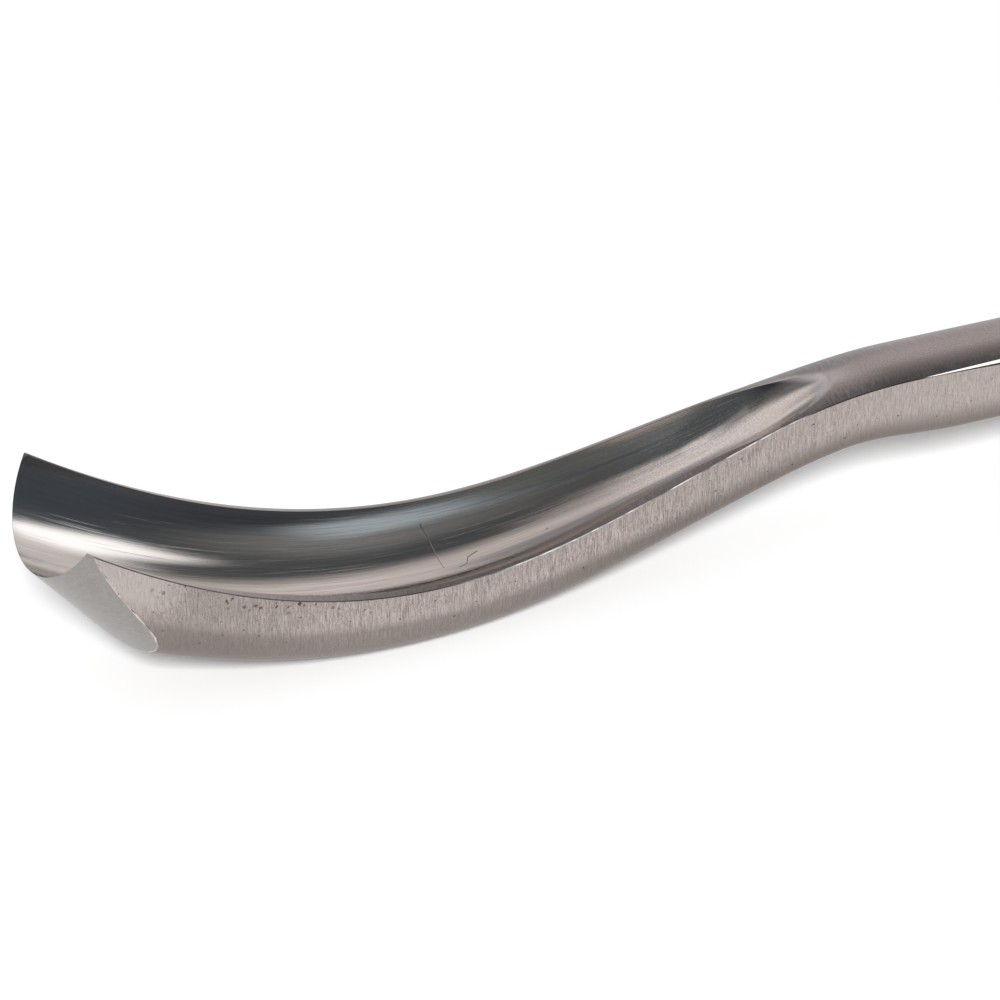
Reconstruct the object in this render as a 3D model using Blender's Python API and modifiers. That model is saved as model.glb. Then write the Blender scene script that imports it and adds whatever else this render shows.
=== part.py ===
"""Bent carving gouge: a forged steel blade, a brass ferrule and an octagonal wooden handle.

Metres, +Z up, +X from the cutting edge to the butt. The gouge lies level on its belly and
on the lower flat of its handle, and the origin is under the middle of its length.
Stations along the blade are measured in X from the cutting corners.
"""

import math

import bmesh
import bpy
import numpy as np
from mathutils import Matrix, Vector

# Clearance between pieces that fit together
FIT_GAP = 0.0003

# Rim line, seen from the side
EDGE_FALL = 0.711
TIP_RISE = 0.01505
BELLY_X = 0.0414
NECK_END_X = 0.0953

# Width of the blade, from the cutting edge to the parallel shank
EDGE_WIDTH = 0.0201
WAIST_X = 0.0778
WAIST_WIDTH = 0.0096
WAIST_TAPER = 0.12
SHANK_X = 0.0897
SHANK_WIDTH = 0.0082

# Height of the flat sides
TIP_SIDE = 0.00903
TIP_SIDE_TAPER = 0.083
THIN_X = 0.0619
THIN_SIDE = 0.0059
NECK_X = 0.0860
NECK_SIDE = 0.00627
SHANK_SIDE_X = 0.1016
SHANK_SIDE = 0.0073

# Crowned top, crowned underside with rounded lower corners, and broken edges
CROWN_TIP = math.radians(5)
CROWN_X = 0.060
CROWN_NECK = math.radians(25)
UNDER_ROUND_X = 0.030
UNDER_RADIUS_TIP = 0.0050
UNDER_RADIUS = 0.0010
UNDER_TILT_TIP = math.radians(3)
UNDER_TILT = math.radians(15)
CORNER_SIGHT = math.radians(33)
BROKEN_EDGE = 0.0001
EDGE_SLANT = 0.4
CHAMFER_X = 0.0976
SHANK_CHAMFER = 0.0010

# Flute: lands beside it, depth under the crown, run-out and drift off the middle
LAND_TIP = 0.00023
LAND_X = 0.024
LAND_WIDTH = 0.0009
LAND_END_X = 0.0783
LAND_END = 0.00045
DEPTH_TIP = 0.00788
DEPTH_TAPER = 0.08
DEPTH_X = 0.040
DEPTH_BELLY = 0.00585
DEPTH_BACK_X = 0.070
DEPTH_BACK = 0.0048
RUNOUT_X = 0.080
RUNOUT_DEPTH = 0.00235
RUNOUT_RISE = 0.36
FLUTE_END_X = 0.0870
NOSE_DRIFT = -0.0008

# Ground bevel on the outside of the cutting edge
SIDE_BEVEL = math.radians(15.4)
UNDER_BEVEL = math.radians(20.5)
BEVEL_REACH = 0.021
EDGE_LEAN = math.radians(4.6)
EDGE_YAW = math.radians(1.75)
EDGE_FLAT = 0.00003
EDGE_STOCK = 0.003

# Bolster and tang
BOLSTER_FRONT_X = 0.1190
BOLSTER_RIM_X = 0.1315
BOLSTER_BACK_X = 0.1350
BOLSTER_DIAMETER = 0.0150
BOLSTER_ROUND = 0.0005
COVE_SINK = 0.0006
TANG_ROOT = 0.0064
TANG_TIP = 0.0032
TANG_LENGTH = 0.060

# Handle, from the nose under the ferrule to the butt
NOSE_DIAMETER = 0.0172
NOSE_LENGTH = 0.0150
NOSE_ROOT = 0.0075
SHOULDER_FLATS = 0.0214
SWELL_LENGTH = 0.034
HANDLE_SIDES = 8
HANDLE_FLATS = 0.0296
STRAIGHT_LENGTH = 0.060
BUTT_FLATS = 0.0252
BUTT_TAPER_LENGTH = 0.020
BUTT_ROUND = 0.0015
HANDLE_EDGE = 0.0008
HOLE_LEAD = 0.0015

# Ferrule
FERRULE_WALL = 0.0013
FERRULE_ROUND = 0.0004

# Facets: steps across a section, stations along the blade and steps round a turned piece
FLUTE_STEPS = 18
FLUTE_SWEEP = math.radians(72)
FLUTE_SPREAD = 0.0016
LAND_STEPS = 2
CORNER_STEPS = 6
UNDER_STEPS = 6
FLUTE_STATIONS = 30
RUNOUT_STATIONS = 15
NECK_STATIONS = 8
SHANK_STATIONS = 6
TURN_STEPS = 40
COVE_STEPS = 8
SHARP_ANGLE = math.radians(20)


def smooth(x, knots):
    """Cubic curve through knots of (x, value, slope), level beyond its ends."""
    places = [knot[0] for knot in knots]
    if x <= places[0]:
        return knots[0][1]
    if x >= places[-1]:
        return knots[-1][1]
    last = next(i for i, place in enumerate(places) if place > x)
    (x0, y0, m0), (x1, y1, m1) = knots[last - 1], knots[last]
    span = x1 - x0
    t = (x - x0) / span
    rise = t * t * (3 - 2 * t)
    return y0 + (y1 - y0) * rise + span * t * (1 - t) * ((1 - t) * m0 - t * m1)


def half_width(x):
    knots = [
        (0, EDGE_WIDTH / 2, 0),
        (WAIST_X, WAIST_WIDTH / 2, -WAIST_TAPER),
        (SHANK_X, SHANK_WIDTH / 2, 0),
    ]
    return smooth(x, knots)


def side_height(x):
    knots = [
        (0, TIP_SIDE, -TIP_SIDE_TAPER),
        (THIN_X, THIN_SIDE, 0),
        (NECK_X, NECK_SIDE, 0),
        (SHANK_SIDE_X, SHANK_SIDE, 0),
    ]
    return smooth(x, knots)


def crown_tilt(x):
    return smooth(x, [(0, CROWN_TIP, 0), (CROWN_X, CROWN_NECK, 0)])


def crown(x, y):
    """Height of the crowned top above the rim line."""
    tilt = crown_tilt(x)
    radius = half_width(x) / math.sin(tilt)
    return math.sqrt(radius ** 2 - y ** 2) - radius * math.cos(tilt)


def under_radius(x):
    return smooth(x, [(UNDER_ROUND_X, UNDER_RADIUS_TIP, 0), (NECK_X, UNDER_RADIUS, 0)])


def under_tilt(x):
    return smooth(x, [(UNDER_ROUND_X, UNDER_TILT_TIP, 0), (NECK_X, UNDER_TILT, 0)])


def under_half(x):
    return half_width(x) - under_radius(x) * (1 - math.sin(under_tilt(x)))


def under_edge(x):
    """Depth below the rim line at which the rounded lower corner meets the underside."""
    return side_height(x) - under_radius(x) * (math.sin(CORNER_SIGHT) - math.cos(under_tilt(x)))


def under_depth(x, y):
    """Depth of the crowned underside below the rim line."""
    reach = under_half(x)
    return under_edge(x) + reach * math.tan(under_tilt(x)) / 2 * (1 - (y / reach) ** 2)


def chamfer(x):
    """Broken edge between the top and the sides, opening to a chamfer along the shank."""
    along = max(0, x - CHAMFER_X) / (BOLSTER_FRONT_X - CHAMFER_X)
    return BROKEN_EDGE + (SHANK_CHAMFER - BROKEN_EDGE) * min(1, along)


def flute_depth(x):
    knots = [
        (0, DEPTH_TIP, -DEPTH_TAPER),
        (DEPTH_X, DEPTH_BELLY, (DEPTH_BACK - DEPTH_BELLY) / (DEPTH_BACK_X - DEPTH_X)),
        (DEPTH_BACK_X, DEPTH_BACK, -2 * (DEPTH_BELLY - DEPTH_BACK) / (DEPTH_BACK_X - DEPTH_X)),
        (RUNOUT_X, RUNOUT_DEPTH, -RUNOUT_RISE),
        (FLUTE_END_X, 0, -RUNOUT_RISE),
    ]
    return smooth(x, knots)


def flute_radius(x):
    """Radius of the hollow whose edges leave the lands standing beside the rim."""
    x = min(x, LAND_END_X)
    land = smooth(x, [
        (0, LAND_TIP, 0),
        (LAND_X, LAND_WIDTH, 0),
        (CROWN_X, LAND_WIDTH, 0),
        (LAND_END_X, LAND_END, 0),
    ])
    reach = half_width(x) - land
    depth = crown(x, reach) - crown(x, 0) + flute_depth(x)
    return (reach ** 2 + depth ** 2) / (2 * depth)


def flute_reach(x):
    """Half width of the flute where its hollow meets the crown."""
    tilt = crown_tilt(x)
    crown_radius = half_width(x) / math.sin(tilt)
    hollow_radius = flute_radius(x)
    apart = crown_radius + hollow_radius - flute_depth(x)
    along = (crown_radius ** 2 - hollow_radius ** 2 + apart ** 2) / (2 * apart)
    return math.sqrt(max(0, crown_radius ** 2 - along ** 2))


def flute_drift(x):
    return smooth(x, [(DEPTH_BACK_X, 0, 0), (FLUTE_END_X, NOSE_DRIFT, 0)])


def top(x, y):
    """Height of the top above the rim line: the crown, or the flute where it is lower."""
    hollow_radius = flute_radius(x)
    floor = crown(x, 0) - flute_depth(x)
    across = min(abs(y - flute_drift(x)), hollow_radius)
    hollow = floor + hollow_radius - math.sqrt(hollow_radius ** 2 - across ** 2)
    return min(crown(x, y), hollow)


def section(x):
    """Outline of the blade at a station, as (y, height above the rim line)."""
    half = half_width(x)
    cut = chamfer(x)
    inset = EDGE_SLANT * cut
    reach = max(flute_reach(x), FLUTE_SPREAD)
    drift = flute_drift(x)
    across = [drift + reach * math.sin(FLUTE_SWEEP * k) / math.sin(FLUTE_SWEEP)
              for k in np.linspace(1, -1, FLUTE_STEPS + 1)]
    far_land = np.linspace(half - inset, across[0], LAND_STEPS + 1)[:-1]
    near_land = np.linspace(across[-1], inset - half, LAND_STEPS + 1)[1:]
    outline = [(y, crown(x, y)) for y in far_land]
    outline += [(y, top(x, y)) for y in across]
    outline += [(y, crown(x, y)) for y in near_land]

    radius = under_radius(x)
    corner_y = half - radius
    corner_v = -under_edge(x) + radius * math.cos(under_tilt(x))
    turns = np.linspace(0, math.pi / 2 - under_tilt(x), CORNER_STEPS + 1)
    corner = [(corner_y + radius * math.cos(a), corner_v - radius * math.sin(a)) for a in turns]
    under = np.linspace(-under_half(x), under_half(x), UNDER_STEPS + 1)[1:-1]
    outline += [(-half, -cut)] + [(-y, v) for y, v in corner]
    outline += [(y, -under_depth(x, y)) for y in under]
    outline += corner[::-1] + [(half, -cut)]
    return outline


def rim_knots(shank_rise):
    return [(0, TIP_RISE, -EDGE_FALL), (BELLY_X, 0, 0), (NECK_END_X, shank_rise, 0)]


# Heights: the belly and the handle's lower flat stand on the same plane
SHANK_MIDDLE = (crown(NECK_END_X, 0) - under_depth(SHANK_SIDE_X, 0)) / 2
BELLY_RIM_Z = -min(smooth(x, rim_knots(0)) - under_depth(x, 0)
                   for x in np.linspace(BELLY_X / 2, BELLY_X, 60))
AXIS_Z = HANDLE_FLATS / 2
SHANK_RISE = AXIS_Z - SHANK_MIDDLE - BELLY_RIM_Z

# Lengths along the handle, and the middle of the whole tool
NOSE_X = BOLSTER_BACK_X + FIT_GAP
SHOULDER_X = NOSE_X + NOSE_LENGTH
SWELL_X = SHOULDER_X + SWELL_LENGTH
TAPER_X = SWELL_X + STRAIGHT_LENGTH
BUTT_X = TAPER_X + BUTT_TAPER_LENGTH
TANG_END_X = BOLSTER_BACK_X + TANG_LENGTH
RIM_PITCH = math.atan(EDGE_FALL)
EDGE_PITCH = RIM_PITCH - EDGE_LEAN
EDGE_DEPTH = DEPTH_TIP - crown(0, 0)
EDGE_X = -EDGE_DEPTH * math.sin(RIM_PITCH) - EDGE_FLAT * math.sin(EDGE_PITCH)
MIDDLE_X = (EDGE_X + BUTT_X) / 2


def rim(x):
    """Height of the rim line, running straight on ahead of the cutting corners."""
    return BELLY_RIM_Z + smooth(x, rim_knots(SHANK_RISE)) - EDGE_FALL * min(x, 0)


def place(x, y, v):
    """World point of a section point, the section standing square to the rim line."""
    step = 0.00001
    pitch = math.atan2(rim(x + step) - rim(x - step), 2 * step)
    return Vector((x - math.sin(pitch) * v - MIDDLE_X, y, rim(x) + math.cos(pitch) * v))


def stations():
    """Stations of the blade's sections, closer together where the flute runs out."""
    fluted = np.linspace(-EDGE_STOCK, DEPTH_BACK_X, FLUTE_STATIONS)
    runout = np.linspace(DEPTH_BACK_X, FLUTE_END_X, RUNOUT_STATIONS)
    neck = np.linspace(FLUTE_END_X, SHANK_SIDE_X, NECK_STATIONS)
    shank = np.linspace(SHANK_SIDE_X, BOLSTER_RIM_X, SHANK_STATIONS)
    return np.concatenate([fluted, runout[1:], neck[1:], shank[1:]])


def clear_scene():
    for obj in list(bpy.data.objects):
        bpy.data.objects.remove(obj)


def make_collection(name):
    collection = bpy.data.collections.new(name)
    bpy.context.scene.collection.children.link(collection)
    return collection


def material(name, colour, roughness, metallic):
    made = bpy.data.materials.new(name)
    made.use_nodes = True
    shader = made.node_tree.nodes["Principled BSDF"]
    shader.inputs["Base Color"].default_value = (*colour, 1)
    shader.inputs["Roughness"].default_value = roughness
    shader.inputs["Metallic"].default_value = metallic
    return made


def add_object(name, mesh, collection):
    obj = bpy.data.objects.new(name, mesh)
    collection.objects.link(obj)
    return obj


def hide_helper(obj):
    obj.hide_render = True
    obj.display_type = "WIRE"
    return obj


def turned(name, outline, steps, collection, closed=False):
    """Turn an outline of (x, radius), from back to front, round the axis of the tool."""
    start = math.pi / steps
    points = [(r * math.cos(start), r * math.sin(start), x) for x, r in outline]
    edges = [(i, i + 1) for i in range(len(points) - 1)]
    if closed:
        edges.append((len(points) - 1, 0))
    mesh = bpy.data.meshes.new(name)
    mesh.from_pydata(points, edges, [])
    obj = add_object(name, mesh, collection)
    obj.location = (-MIDDLE_X, 0, AXIS_Z)
    obj.rotation_euler = (0, math.pi / 2, 0)
    screw = obj.modifiers.new("turn", "SCREW")
    screw.axis = "Z"
    screw.steps = steps
    screw.render_steps = steps
    screw.use_merge_vertices = True
    screw.merge_threshold = 0.00001
    return obj


def boolean(obj, tool, operation):
    cut = obj.modifiers.new(tool.name, "BOOLEAN")
    cut.operation = operation
    cut.object = tool
    cut.solver = "EXACT"


def lofted_bar(name, collection):
    """Fluted bar from the cutting edge to inside the bolster, lofted through its sections."""
    mesh = bpy.data.meshes.new(name)
    build = bmesh.new()
    loops = []
    for x in stations():
        loops.append([build.verts.new(place(x, y, v)) for y, v in section(x)])
    for loop, ahead in zip(loops, loops[1:]):
        for i in range(len(loop)):
            j = (i + 1) % len(loop)
            build.faces.new((loop[i], loop[j], ahead[j], ahead[i]))
    build.faces.new(loops[0])
    build.faces.new(loops[-1])
    bmesh.ops.recalc_face_normals(build, faces=build.faces)
    build.to_mesh(mesh)
    build.free()
    mesh.shade_smooth()
    mesh.set_sharp_from_angle(angle=SHARP_ANGLE)
    return add_object(name, mesh, collection)


def set_at_edge(obj):
    """Stand a tool on the cutting edge, its Z axis running back through the bevel."""
    upward = Vector((math.sin(EDGE_PITCH), 0, math.cos(EDGE_PITCH)))
    obj.location = place(0, 0, -EDGE_DEPTH) + flute_radius(0) * upward
    obj.rotation_euler = (0, math.pi / 2 + EDGE_PITCH, EDGE_YAW)
    return hide_helper(obj)


def bevel_bore(collection):
    """Cone round the flute that is round at the cutting edge and taller than wide behind it."""
    edge = flute_radius(0) + EDGE_FLAT
    side = edge + BEVEL_REACH * math.tan(SIDE_BEVEL)
    under = edge + BEVEL_REACH * math.tan(UNDER_BEVEL)
    mesh = bpy.data.meshes.new("bevel_bore")
    build = bmesh.new()
    bmesh.ops.create_cone(build, cap_ends=True, segments=2 * TURN_STEPS,
                          radius1=edge, radius2=side, depth=BEVEL_REACH)
    bmesh.ops.translate(build, verts=build.verts, vec=(0, 0, BEVEL_REACH / 2))
    behind = [vert for vert in build.verts if vert.co.z > BEVEL_REACH / 2]
    bmesh.ops.scale(build, verts=behind, vec=(under / side, 1, 1))
    bmesh.ops.triangulate(build, faces=build.faces)
    build.to_mesh(mesh)
    build.free()
    return set_at_edge(add_object("bevel_bore", mesh, collection))


def bevel_cutter(collection):
    """Block that trims the stock to the cutting edge and grinds the bevel behind it."""
    mesh = bpy.data.meshes.new("bevel_cutter")
    build = bmesh.new()
    bmesh.ops.create_cube(build, size=1)
    ahead = 4 * EDGE_STOCK
    behind = BEVEL_REACH - EDGE_STOCK
    bmesh.ops.scale(build, verts=build.verts, vec=(3 * EDGE_WIDTH, 3 * EDGE_WIDTH, ahead + behind))
    bmesh.ops.translate(build, verts=build.verts, vec=(0, 0, (behind - ahead) / 2))
    build.to_mesh(mesh)
    build.free()
    cutter = set_at_edge(add_object("bevel_cutter", mesh, collection))
    boolean(cutter, bevel_bore(collection), "DIFFERENCE")
    return cutter


def bolster_blank(collection):
    """Turned bolster: a cove that flares from the shank to a short rim with a flat back."""
    radius = BOLSTER_DIAMETER / 2
    widest = radius - BOLSTER_ROUND
    slimmest = SHANK_WIDTH / 2 - COVE_SINK
    outline = [(BOLSTER_BACK_X, 0), (BOLSTER_BACK_X, widest),
               (BOLSTER_BACK_X - BOLSTER_ROUND, radius), (BOLSTER_RIM_X + BOLSTER_ROUND, radius)]
    for turn in np.linspace(0, math.pi / 2, COVE_STEPS):
        x = BOLSTER_FRONT_X + (BOLSTER_RIM_X - BOLSTER_FRONT_X) * math.cos(turn)
        outline.append((x, widest - (widest - slimmest) * math.sin(turn)))
    outline.append((BOLSTER_FRONT_X, 0))
    return hide_helper(turned("bolster_blank", outline, TURN_STEPS, collection))


def tang_width(x):
    return TANG_ROOT + (TANG_TIP - TANG_ROOT) * (x - BOLSTER_BACK_X) / TANG_LENGTH


def tang_blank(name, front, back, clearance, collection):
    """Four sided taper along the axis between two stations, grown by a clearance."""
    bpy.ops.mesh.primitive_cone_add(
        vertices=4,
        radius1=(tang_width(front) / 2 + clearance) * math.sqrt(2),
        radius2=(tang_width(back) / 2 + clearance) * math.sqrt(2),
        depth=back - front,
        location=((front + back) / 2 - MIDDLE_X, 0, AXIS_Z),
        rotation=(0, math.pi / 2, 0))
    blank = bpy.context.object
    blank.name = name
    turn = bmesh.new()
    turn.from_mesh(blank.data)
    bmesh.ops.rotate(turn, verts=turn.verts, matrix=Matrix.Rotation(math.pi / 4, 3, "Z"))
    turn.to_mesh(blank.data)
    turn.free()
    for owner in list(blank.users_collection):
        owner.objects.unlink(blank)
    collection.objects.link(blank)
    return hide_helper(blank)


def make_blade(parts, cutters):
    blade = lofted_bar("blade", parts)
    blade.data.materials.append(material("ground_steel", (0.56, 0.54, 0.52), 0.3, 1))
    boolean(blade, bevel_cutter(cutters), "DIFFERENCE")
    boolean(blade, bolster_blank(cutters), "UNION")
    rooted = BOLSTER_BACK_X - BOLSTER_ROUND
    boolean(blade, tang_blank("tang_blank", rooted, TANG_END_X, 0, cutters), "UNION")
    return blade


def make_ferrule(parts):
    """Brass ring between the end of the nose and the handle's shoulder."""
    bore = NOSE_DIAMETER / 2 + FIT_GAP
    outer = bore + FERRULE_WALL
    back = SHOULDER_X - FIT_GAP
    outline = [(back, bore), (back, outer - FERRULE_ROUND), (back - FERRULE_ROUND, outer),
               (NOSE_X + FERRULE_ROUND, outer), (NOSE_X, outer - FERRULE_ROUND), (NOSE_X, bore)]
    ferrule = turned("ferrule", outline, TURN_STEPS, parts, closed=True)
    ferrule.data.materials.append(material("brass", (0.75, 0.53, 0.22), 0.3, 1))
    ferrule.modifiers["turn"].use_smooth_shade = True
    return ferrule


def make_handle(parts, cutters):
    """Octagonal handle with a turned nose, a hole for the tang and a flat butt."""
    corner = 1 / math.cos(math.pi / HANDLE_SIDES) / 2
    outline = [(BUTT_X, 0), (BUTT_X, BUTT_FLATS * corner - BUTT_ROUND),
               (BUTT_X - BUTT_ROUND, BUTT_FLATS * corner), (TAPER_X, HANDLE_FLATS * corner),
               (SWELL_X, HANDLE_FLATS * corner), (SHOULDER_X, SHOULDER_FLATS * corner),
               (SHOULDER_X, 0)]
    handle = turned("handle", outline, HANDLE_SIDES, parts)
    handle.data.materials.append(material("oiled_ash", (0.55, 0.35, 0.18), 0.5, 0))
    edges = handle.modifiers.new("edges", "BEVEL")
    edges.width = HANDLE_EDGE
    edges.segments = 2
    edges.limit_method = "ANGLE"
    edges.angle_limit = math.radians(30)
    seat = SHOULDER_X + NOSE_ROOT
    nose_outline = [(seat, 0), (seat, NOSE_DIAMETER / 2), (NOSE_X, NOSE_DIAMETER / 2), (NOSE_X, 0)]
    nose = hide_helper(turned("nose_blank", nose_outline, TURN_STEPS, cutters))
    boolean(handle, nose, "UNION")
    mouth = NOSE_X - HOLE_LEAD
    hole = tang_blank("tang_hole", mouth, TANG_END_X + FIT_GAP, FIT_GAP, cutters)
    boolean(handle, hole, "DIFFERENCE")
    return handle


def main():
    clear_scene()
    parts = make_collection("bent_gouge")
    cutters = make_collection("cutters")
    make_blade(parts, cutters)
    make_ferrule(parts)
    make_handle(parts, cutters)


main()
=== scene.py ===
"""Looks of a bent carving gouge, in metres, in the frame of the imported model.

The blade is modelled again as one smooth forging with its own finish on every surface: a flute
polished along its length, sides ground across, a honed bevel and a brushed top. The ferrule is
turned brass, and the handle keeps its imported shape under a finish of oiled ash.
Stations along the blade are measured in X from the cutting corners.
"""

import math

import bpy
import numpy as np
from mathutils import Euler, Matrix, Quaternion, Vector


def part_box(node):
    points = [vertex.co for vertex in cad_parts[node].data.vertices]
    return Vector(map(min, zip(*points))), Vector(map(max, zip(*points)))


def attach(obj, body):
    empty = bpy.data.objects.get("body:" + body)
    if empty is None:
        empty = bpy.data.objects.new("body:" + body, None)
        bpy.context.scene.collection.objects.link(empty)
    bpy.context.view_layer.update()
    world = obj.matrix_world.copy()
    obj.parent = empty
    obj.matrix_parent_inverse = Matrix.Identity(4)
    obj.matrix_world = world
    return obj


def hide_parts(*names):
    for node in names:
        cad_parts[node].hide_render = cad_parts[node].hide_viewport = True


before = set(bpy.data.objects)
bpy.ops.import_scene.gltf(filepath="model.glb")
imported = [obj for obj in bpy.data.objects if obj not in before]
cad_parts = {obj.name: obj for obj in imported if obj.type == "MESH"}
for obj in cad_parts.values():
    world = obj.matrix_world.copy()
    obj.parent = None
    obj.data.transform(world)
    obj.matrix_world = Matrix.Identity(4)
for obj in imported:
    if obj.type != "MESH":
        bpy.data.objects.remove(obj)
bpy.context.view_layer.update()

# Rim line, seen from the side
EDGE_FALL = 0.711
TIP_RISE = 0.01505
BELLY_X = 0.0414
NECK_END_X = 0.0953

# Width of the blade, from the cutting edge to the parallel shank
EDGE_WIDTH = 0.0201
WAIST_X = 0.0778
WAIST_WIDTH = 0.0096
WAIST_TAPER = 0.12
SHANK_X = 0.0897
SHANK_WIDTH = 0.0082

# Height of the flat sides
TIP_SIDE = 0.00903
TIP_SIDE_TAPER = 0.083
THIN_X = 0.0619
THIN_SIDE = 0.0059
NECK_X = 0.0860
NECK_SIDE = 0.00627
SHANK_SIDE_X = 0.1016
SHANK_SIDE = 0.0073

# Crowned top, crowned underside, rounded corners and worn edges
CROWN_TIP = math.radians(5)
CROWN_X = 0.060
CROWN_NECK = math.radians(25)
UNDER_ROUND_X = 0.030
UNDER_RADIUS_TIP = 0.0050
UNDER_RADIUS = 0.0010
UNDER_TILT_TIP = math.radians(3)
UNDER_TILT = math.radians(15)
CORNER_SIGHT = math.radians(33)
BROKEN_EDGE = 0.0001
EDGE_SLANT = 0.46
CHAMFER_X = 0.0976
SHANK_CHAMFER = 0.0010

# Flute: lands beside it, depth under the crown, run-out and drift off the middle
LAND_TIP = 0.00023
LAND_X = 0.024
LAND_WIDTH = 0.0009
LAND_END_X = 0.0783
LAND_END = 0.00045
NARROW_X = 0.0505
NARROW_SHIFT = 0.00027
WIDE_X = 0.0655
DEPTH_TIP = 0.00788
DEPTH_TAPER = 0.08
DEPTH_X = 0.040
DEPTH_BELLY = 0.00585
DEPTH_BACK_X = 0.070
DEPTH_BACK = 0.0048
RUNOUT_X = 0.080
RUNOUT_DEPTH = 0.00235
RUNOUT_RISE = 0.36
FLUTE_END_X = 0.0870
NOSE_DRIFT = -0.0008

# Ground bevel on the outside of the cutting edge
SIDE_BEVEL = math.radians(15.4)
UNDER_BEVEL = math.radians(20.5)
BEVEL_REACH = 0.021
EDGE_LEAN = math.radians(4.6)
EDGE_YAW = math.radians(1.75)
EDGE_FLAT = 0.000026
EDGE_STOCK = 0.003
HEEL_LINE = 0.0001
HEEL_STEPS = 2
CUTTER_WIDTH = 3 * EDGE_WIDTH
CUTTER_AHEAD = 4 * EDGE_STOCK

# Bolster and tang
BOLSTER_FRONT_X = 0.1190
BOLSTER_RIM_X = 0.1315
BOLSTER_BACK_X = 0.1350
BOLSTER_DIAMETER = 0.0150
BOLSTER_ROUND = 0.0005
BOLSTER_FLAT = 0.0055
COVE_SINK = 0.0006
TANG_ROOT = 0.0064
TANG_TIP = 0.0032
TANG_LENGTH = 0.060

# Handle and ferrule
HANDLE_FLATS = 0.0296
NOSE_LENGTH = 0.0150
SWELL_LENGTH = 0.034
STRAIGHT_LENGTH = 0.060
BUTT_TAPER_LENGTH = 0.020
FERRULE_WALL = 0.0013
FERRULE_ROUND = 0.0004
FIT_GAP = 0.0003

# Steps across a section, stations along the blade and steps round a turned piece
LAND_STEPS = 4
FLUTE_STEPS = 56
SIDE_STEPS = 8
CORNER_STEPS = 6
UNDER_STEPS = 14
FLUTE_STATIONS = 110
RUNOUT_STATIONS = 90
NECK_STATIONS = 40
SHANK_STATIONS = 30
BELLY_STATIONS = 60
TURN_STEPS = 128
BORE_STEPS = 3 * TURN_STEPS
ROUND_STEPS = 5
COVE_STEPS = 23

# Points across the flute crowd towards its rims as on this arc, and keep this half width past its end
FLUTE_SWEEP = math.radians(72)
FLUTE_SPREAD = 0.0016

# Points nearer than this are one, and a sharper turn than these shows as an edge
MERGE_DISTANCE = 1e-7
BLADE_SMOOTH_ANGLE = math.radians(18)
FERRULE_SMOOTH_ANGLE = math.radians(30)

# Finishes of the blade in the order of its slots, and the finish of each strip of its sections
BLADE_SLOTS = ("top", "side", "edge", "bevel", "bolster", "heel")
STRIP_FINISHES = {
    "top": "top", "near_edge": "edge", "near_side": "side",
    "under": "side", "far_side": "side", "far_edge": "edge",
}

# Camera: turn from square on, pitch down, distance, the point it looks at and its focal length
VIEW_TURN = math.radians(22)
VIEW_PITCH = math.radians(33.862)
VIEW_DISTANCE = 0.51546
VIEW_POINT = Vector((-0.087040, -0.014071, 0.022180))
FOCAL_LENGTH = 180
SENSOR_WIDTH = 36
VIEW_REACH = 10

# Millimetres in a metre, and round the top from one side to the other
MILLIMETRES = 1000
TOP_GIRTH = 19

# Scratches in the flute, from and to: millimetres along and across the unrolled top
SCRATCH_WIDTH = 0.07
FLUTE_SCRATCHES = (
    ((41.7, 3.8), (42.1, 5.9)), ((42.1, 5.9), (42.3, 8.8)),
    ((43.8, 9.3), (44.6, 9.15)), ((44.6, 9.15), (45.1, 8.35)), ((45.1, 8.35), (46.2, 8.05)),
)

# Studio: a white floor, a dark tent hung with pale cards, and one lamp over the camera
FLOOR_SIZE = 12
FLOOR_WHITE = (0.93, 0.93, 0.93, 1)
FLOOR_DARK = (0.05, 0.05, 0.05, 1)
FLOOR_DARK_Y = -0.1
FLOOR_WHITE_Y = -0.04
FLOOR_GLOW = 0.1
TENT_RADIUS = 4
TENT_STEPS = 96
TENT_CLOTH = (0.12, 0.134, 0.142, 1)
WORLD_WHITE = (1, 1, 1, 1)
WORLD_FILL = 0.38
WORLD_SEEN = 1
LAMP_AZIMUTH = -112
LAMP_ELEVATION = 39.2
LAMP_DISTANCE = 2.4
LAMP_SIZE = 0.4
LAMP_POWER = 64


def smooth(x, knots):
    """Cubic curve through knots of (x, value, slope), level beyond its ends."""
    places = [knot[0] for knot in knots]
    if x <= places[0]:
        return knots[0][1]
    if x >= places[-1]:
        return knots[-1][1]
    last = next(i for i, place in enumerate(places) if place > x)
    (x0, y0, m0), (x1, y1, m1) = knots[last - 1], knots[last]
    span = x1 - x0
    t = (x - x0) / span
    rise = t * t * (3 - 2 * t)
    return y0 + (y1 - y0) * rise + span * t * (1 - t) * ((1 - t) * m0 - t * m1)


def half_width(x):
    knots = [
        (0, EDGE_WIDTH / 2, 0),
        (WAIST_X, WAIST_WIDTH / 2, -WAIST_TAPER),
        (SHANK_X, SHANK_WIDTH / 2, 0),
    ]
    return smooth(x, knots)


def side_height(x):
    knots = [
        (0, TIP_SIDE, -TIP_SIDE_TAPER),
        (THIN_X, THIN_SIDE, 0),
        (NECK_X, NECK_SIDE, 0),
        (SHANK_SIDE_X, SHANK_SIDE, 0),
    ]
    return smooth(x, knots)


def crown_tilt(x):
    return smooth(x, [(0, CROWN_TIP, 0), (CROWN_X, CROWN_NECK, 0)])


def crown(x, y):
    """Height of the crowned top above the rim line."""
    tilt = crown_tilt(x)
    radius = half_width(x) / math.sin(tilt)
    return math.sqrt(radius ** 2 - y ** 2) - radius * math.cos(tilt)


def under_radius(x):
    return smooth(x, [(UNDER_ROUND_X, UNDER_RADIUS_TIP, 0), (NECK_X, UNDER_RADIUS, 0)])


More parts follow.
